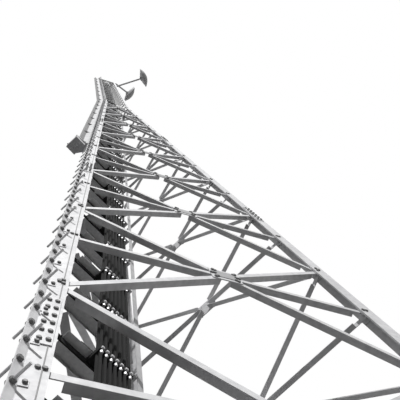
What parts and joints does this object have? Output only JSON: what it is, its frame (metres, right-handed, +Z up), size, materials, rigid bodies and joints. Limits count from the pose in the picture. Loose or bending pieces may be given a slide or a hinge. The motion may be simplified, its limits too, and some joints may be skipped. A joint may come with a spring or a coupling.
{
  "type": "cell tower",
  "caption": "Three-legged lattice tower of galvanized angles with a straight mast, climbing pegs, feeder cables on inner arms, a cable duct and two dish antennas.",
  "frame": {"origin": "middle of the underside of the left leg's base plate", "axes": "+X along the front side to the right leg, +Y towards the rear leg, +Z up"},
  "size_m": [4.1661, 3.6844, 36.73],
  "materials": {
    "zinc_steel": "dull galvanized",
    "dish_paint": "matt",
    "box_paint": "matt",
    "cable_sheath": "matt"
  },
  "bodies": {
    "root": {"cable_duct_high": "cable_sheath", "cable_duct_low": "cable_sheath", "climbing_rail_high": "zinc_steel", "climbing_rail_low": "zinc_steel", "climbing_rail_mid": "zinc_steel", "feeder_cables_high": "cable_sheath", "feeder_cables_low": "cable_sheath", "feeder_cables_mid": "cable_sheath", "front_bracing_base": "zinc_steel", "front_bracing_high": "zinc_steel", "front_bracing_low": "zinc_steel", "front_bracing_mid": "zinc_steel", "front_mast_bracing": "zinc_steel", "junction_box": "box_paint", "left_bracing_base": "zinc_steel", "left_bracing_high": "zinc_steel", "left_bracing_low": "zinc_steel", "left_bracing_mid": "zinc_steel", "left_foot": "zinc_steel", "left_leg_high": "zinc_steel", "left_leg_low": "zinc_steel", "left_leg_mid": "zinc_steel", "left_mast_bracing": "zinc_steel", "left_mast_leg": "zinc_steel", "lower_dish": "dish_paint", "lower_dish_arm": "zinc_steel", "mast_feeder_cables": "cable_sheath", "rear_foot": "zinc_steel", "rear_leg_high": "zinc_steel", "rear_leg_low": "zinc_steel", "rear_leg_mid": "zinc_steel", "rear_mast_leg": "zinc_steel", "right_bracing_base": "zinc_steel", "right_bracing_high": "zinc_steel", "right_bracing_low": "zinc_steel", "right_bracing_mid": "zinc_steel", "right_foot": "zinc_steel", "right_leg_high": "zinc_steel", "right_leg_low": "zinc_steel", "right_leg_mid": "zinc_steel", "right_mast_bracing": "zinc_steel", "right_mast_leg": "zinc_steel", "top_plate": "zinc_steel", "upper_dish": "dish_paint", "upper_dish_arm": "zinc_steel"}
  },
  "joints": []
}
